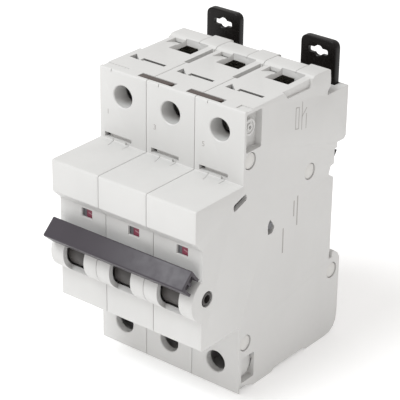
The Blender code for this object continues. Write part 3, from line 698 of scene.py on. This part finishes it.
# ------------------------------------------------------------- small hardware
def make_pins():
    """Assembly pins with a flat rounded head at each end."""
    shank = 1.5
    for name in PIN_NAMES:
        node = "assembly_pin_" + name
        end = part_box(node)[1].x / MM
        neck = end - 0.9
        head = [(neck, shank), (neck, PIN_RADIUS - 0.06), (end - 0.35, PIN_RADIUS - 0.06),
                (end - 0.2, PIN_RADIUS - 0.1), (end - 0.12, PIN_RADIUS - 0.25)]
        profile = [(-along, radius) for along, radius in reversed(head)] + head
        piece("pin_" + name, turned("X", pin_centre(name), profile), "housing", "pin_plastic", node)


def make_flags():
    """Red indicator plates with a raised pad, a dark band of painted shadow from the window's left wall and
    a small light stroke that is a painted highlight.
    """
    highlight_corners = ((10.2, 6.9), (11.6, 6.6), (11.6, 7.0), (10.2, 7.3))
    for number in range(1, POLES + 1):
        x = pole_x(number - 1)
        plate = rounded(box((7.4, 13.2), (-59.9, -58.9), (0.6, 9.2)), 0.12, 2)
        pad = rounded(box((7.7, 12.9), (-60.75, -59.4), (5.0, 9.1)), 0.1, 2)
        arm = rounded(box((12.4, 13.2), (-59.2, -54.0), (1.0, 2.6)), 0.1, 2)
        flag = moved_x(fuse(plate, [pad, arm]), x)
        piece(f"flag_plate_{number}", flag, f"flag_{number}", "flag_red", f"indicator_flag_{number}")
        # dark band on the flag's left side: painted shadow cast by the window's left wall
        painted_window_shadow = box((x + 7.8, x + 9.6), (-60.8, -60.74), (5.1, 9.0))
        piece(f"flag_painted_shadow_{number}", painted_window_shadow, f"flag_{number}", "carrier_plastic")
        # small light stroke on the flag: painted highlight
        mark = extruded([(x + a, -60.75, b) for a, b in highlight_corners], (0, -0.05, 0))
        piece(f"flag_painted_highlight_{number}", mark, f"flag_{number}", "painted_flag_highlight")


def screw_profile(head, under, tip):
    """Pan head, shank and rounded thread crests along the screw's axis."""
    root, crest, rim = 2.0, 2.33, 3.0
    profile = [(head, 1.6), (head + 0.05, 2.2), (head + 0.3, 2.75), (head + 0.7, rim), (under, rim),
               (under, root)]
    pitch = 0.8
    place = under + 0.5
    while place + pitch < tip - 0.4:
        profile += [(place, root), (place + 0.3 * pitch, crest), (place + 0.45 * pitch, crest),
                    (place + 0.75 * pitch, root)]
        place += pitch
    return profile + [(tip - 0.4, root), (tip, 1.6)]


def make_screws():
    """Clamp screws with a cross recess, at the bottom of the screw tunnels; their steel is darkened to paint
    the shade that falls on the heads deep in the tunnels.
    """
    arm, half = 2.1, 0.42
    for side, height in SCREW_HEIGHT.items():
        for number in range(1, POLES + 1):
            node = f"{side}_terminal_screw_{number}"
            low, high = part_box(node)
            head, tip = low.y / MM, high.y / MM
            x = (low.x + high.x) / 2 / MM
            screw = turned("Y", (x, height), screw_profile(head, head + 3.0, tip), 32)
            depth = (head - 1, head + 1.5)
            cross = fuse(box((x - half, x + half), depth, (height - arm, height + arm)),
                         [box((x - arm, x + arm), depth, (height - half, height + half))])
            piece(f"clamp_screw_{side}_{number}", cut(screw, [cross]), f"{side}_screw_{number}",
                  "shade_darkened_screw_steel", node, angle=40.0)


def make_rail_clips():
    """Black sliding clips with a slotted keyhole and rounded rims, the left one a copy of the right."""
    low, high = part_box("rail_clip_right")
    x0, x1 = low.x / MM, high.x / MM
    mid = (x0 + x1) / 2
    top, tip = high.z / MM, low.z / MM
    corner, waist, inset = 2.3, 20.0, 1.0
    outline = [(x0 + inset, tip, 0.4), (x1 - inset, tip, 0.4), (x1, waist, 1.5), (x1, top, corner),
               (x0, top, corner), (x0, waist, 1.5)]
    plate = rounded(prism_y(filleted(outline, 0.4, 8), 2.5, 4.9), 0.35, 3, 50.0)
    height, reach, half = 45.9, 3.4, 0.9
    lobe = countersunk("Y", (mid, height), 1.6, 2.5, 4.0, 0.2, 40)
    pocket = rounded(box((mid - 4.2, mid + 4.2), (3.6, 9.0), (height - 2.6, height + 2.6)), 0.5, 3)
    ends = [(mid - reach, height - half), (mid + reach, height - half), (mid + reach, height + half),
            (mid - reach, height + half)]
    throat = prism_y(filleted(ends, 0.75, 6), 0, 9)
    slant = [(1.5, tip - 3.6), (5.9, tip - 3.6), (5.9, tip + 0.6), (1.5, tip - 0.8)]
    plate = cut(plate, [lobe, pocket, throat, prism(slant, x0 - 1, x1 + 1)])
    nose = prism([(1.4, 14.4), (3.1, 14.6), (3.1, 17.8), (1.4, 16.9)], x0 + inset, x1 - inset)
    lip = prism([(4.0, tip), (4.8, tip - 0.3), (5.9, 15.1), (4.0, 15.6)], x0 + 0.05, x1 - 0.05)
    right = fuse(plate, [rounded(nose, 0.15, 2), rounded(lip, 0.2, 2)])
    left = moved_x(copied(right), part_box("rail_clip_left")[0].x / MM - x0)
    for side, clip in (("left", left), ("right", right)):
        piece("sliding_clip_" + side, clip, "rail_clip_" + side, "clip_plastic", "rail_clip_" + side)


def make_tie_clips():
    """Brown staples, flush in the roof, with a cut corner at the right front."""
    leg_width, gap = 1.5, 0.1
    for side in ("left", "right"):
        low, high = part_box("pole_tie_clip_" + side)
        x0, x1 = low.x / MM, high.x / MM
        y0, y1 = low.y / MM, high.y / MM
        top, foot = high.z / MM, low.z / MM
        x1 -= 0.5
        plan = [(x0, y0, 0.35), (x1 - 1.2, y0, 0.5), (x1, y0 + 1.1, 0.5), (x1, y1, 0.35), (x0, y1, 0.35)]
        strip = rounded(prism_z(filleted(plan, 0.35, 3), top - 0.7, top), 0.05, 2)
        legs = [box((x0 + gap, x0 + leg_width), (y0 + gap, y1 - gap), (foot, top - 0.3)),
                box((x1 - leg_width, x1 - gap), (y0 + 1.0, y1 - gap), (foot, top - 0.3))]
        piece("tie_clip_" + side, fuse(strip, legs), "housing", "tie_clip_plastic", "pole_tie_clip_" + side)


# ------------------------------------------------------- inner parts and marks
NODE_LOOKS = {
    "contact_carrier": "carrier_plastic", "fixed_contact": "copper", "trip_coil": "copper",
    "magnet_yoke": "dark_steel", "plunger": "bright_steel", "bimetal_strip": "plated_steel",
    "arc_chute": "dark_steel", "upper_terminal_cage": "plated_steel", "lower_terminal_cage": "plated_steel",
    "link_wire": "bright_steel", "trip_bar": "carrier_plastic",
}


def dress_inner_parts():
    """CAD parts that keep their shape get their looks and softened edges."""
    for name, node in frame["nodes"].items():
        stem = name.rsplit("_", 1)[0] if name[-1].isdigit() else name
        if stem not in NODE_LOOKS:
            continue
        dress(node, NODE_LOOKS[stem])
        node.modifiers.new("joined", "WELD").merge_threshold = 0.001 * MM
        step = node.modifiers.new("edges", "BEVEL")
        step.width = 0.12 * MM
        step.segments = 2
        step.limit_method = "ANGLE"
        step.angle_limit = math.radians(50)


def stroke(points, width, x):
    """Flat printed line through (y, z) points on the right side at x."""
    parts = []
    for (u0, v0), (u1, v1) in zip(points, points[1:]):
        run = math.hypot(u1 - u0, v1 - v0)
        du, dv = (u1 - u0) / run * width / 2, (v1 - v0) / run * width / 2
        corners = [(u0 - du - dv, v0 - dv + du), (u1 + du - dv, v1 + dv + du),
                   (u1 + du + dv, v1 + dv - du), (u0 - du + dv, v0 - dv - du)]
        parts.append(extruded([(x, a, b) for a, b in corners], (0.02, 0, 0)))
    return fuse(parts[0], parts[1:]) if len(parts) > 1 else parts[0]


def make_marks():
    """Generic wiring pictogram and bars on the side, plain numerals by the terminals."""
    side = pole_x(POLES - 1) + RIGHT
    coil = [(-20.4, 31.4), (-18.9, 31.1), (-18.9, 37.6), (-20.4, 37.9), (-20.4, 31.4)]
    pictogram = [coil, [(-17.4, 30.4), (-17.4, 38.8)], [(-17.4, 34.4), (-15.3, 36.4)],
                 [(-15.3, 30.2), (-15.3, 34.6)]]
    bars = [[(-19.6, 4.0), (-19.6, 8.5)], [(-17.9, 0.5), (-17.9, 9.5)], [(-24.5, -6.0), (-24.5, 1.5)]]
    lines = [(points, 0.28) for points in pictogram] + [(points, 0.5) for points in bars]
    for number, (points, width) in enumerate(lines, 1):
        piece(f"side_mark_{number}", stroke(points, width, side), "housing", "print")
    for pole in range(POLES):
        for label, height in ((2 * pole + 1, 30.2), (2 * pole + 2, -30.6)):
            text = bpy.data.curves.new("numeral", "FONT")
            text.body = str(label)
            text.size = 2.2
            text.extrude = 0.01
            text.resolution_u = 3
            item = bpy.data.objects.new("numeral", text)
            bpy.context.scene.collection.objects.link(item)
            item = evaluated(item)
            place = Matrix.Translation((pole_x(pole) + 2.6, FRONT - 0.01, height))
            item.data.transform(place @ Matrix.Rotation(math.pi / 2, 4, "X"))
            piece(f"terminal_numeral_{label}", item, "housing", "print")


# ------------------------------------------------------------- stage and light
def make_stage():
    """Plain pale floor under the lowest point."""
    reach, level = 4.0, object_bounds()[0][2]
    corners = [(-reach, -reach, level), (reach, -reach, level), (reach, reach, level),
               (-reach, reach, level)]
    floor = bpy.data.meshes.new("floor")
    floor.from_pydata(corners, [], [(0, 1, 2, 3)])
    item = bpy.data.objects.new("floor", floor)
    bpy.context.scene.collection.objects.link(item)
    material, tree, shader = new_material("floor_paper")
    tree.links.new(ramp(tree, noise(tree, 3.0), 0.90, 0.94), shader.inputs["Base Color"])
    shader.inputs["Roughness"].default_value = 0.9
    shader.inputs["Emission Color"].default_value = (1.0, 1.0, 1.0, 1.0)
    shader.inputs["Emission Strength"].default_value = 0.2
    floor.materials.append(material)


def make_light():
    """Bright even surroundings and one large soft lamp from the front left, above."""
    world = bpy.data.worlds.new("studio")
    world.use_nodes = True
    sky = world.node_tree.nodes["Background"]
    sky.inputs["Color"].default_value = (1.0, 0.982, 0.966, 1.0)
    sky.inputs["Strength"].default_value = 0.76
    bpy.context.scene.world = world
    bpy.context.scene.view_settings.view_transform = "Standard"
    lamp = bpy.data.lights.new("key", "AREA")
    lamp.shape = "DISK"
    lamp.size = 0.7
    lamp.energy = 12.2
    lamp.color = (0.955, 0.985, 1.0)
    item = bpy.data.objects.new("key", lamp)
    bpy.context.scene.collection.objects.link(item)
    place, aim = Vector((-0.36, -0.75, 1.2)), Vector((0, -0.03, 0))
    item.location = place
    item.rotation_euler = (aim - place).to_track_quat("-Z", "Y").to_euler()


def make_camera():
    """Long lens from the front right, above."""
    azimuth, elevation, roll = math.radians(38.441), math.radians(26.331), math.radians(0.797)
    distance, lens = 0.49352, 157.47
    target = Vector((0.0097893, -0.0424474, 0.0123595))
    back = Vector((math.sin(azimuth) * math.cos(elevation), -math.cos(azimuth) * math.cos(elevation),
                   math.sin(elevation)))
    right = Vector((math.cos(azimuth), math.sin(azimuth), 0.0))
    up = back.cross(right)
    turned_right = right * math.cos(roll) + up * math.sin(roll)
    turned_up = up * math.cos(roll) - right * math.sin(roll)
    data = bpy.data.cameras.new("camera")
    data.lens = lens
    data.sensor_width = 36.0
    data.clip_start = 0.01
    item = bpy.data.objects.new("camera", data)
    bpy.context.scene.collection.objects.link(item)
    item.matrix_world = Matrix.Translation(target + back * distance) @ Matrix(
        (turned_right, turned_up, back)
    ).transposed().to_4x4()
    bpy.context.scene.camera = item


make_camera()
make_light()
make_housings()
make_toggles()
make_tie_bar()
make_pins()
make_flags()
make_screws()
make_rail_clips()
make_tie_clips()
dress_inner_parts()
make_marks()
make_stage()
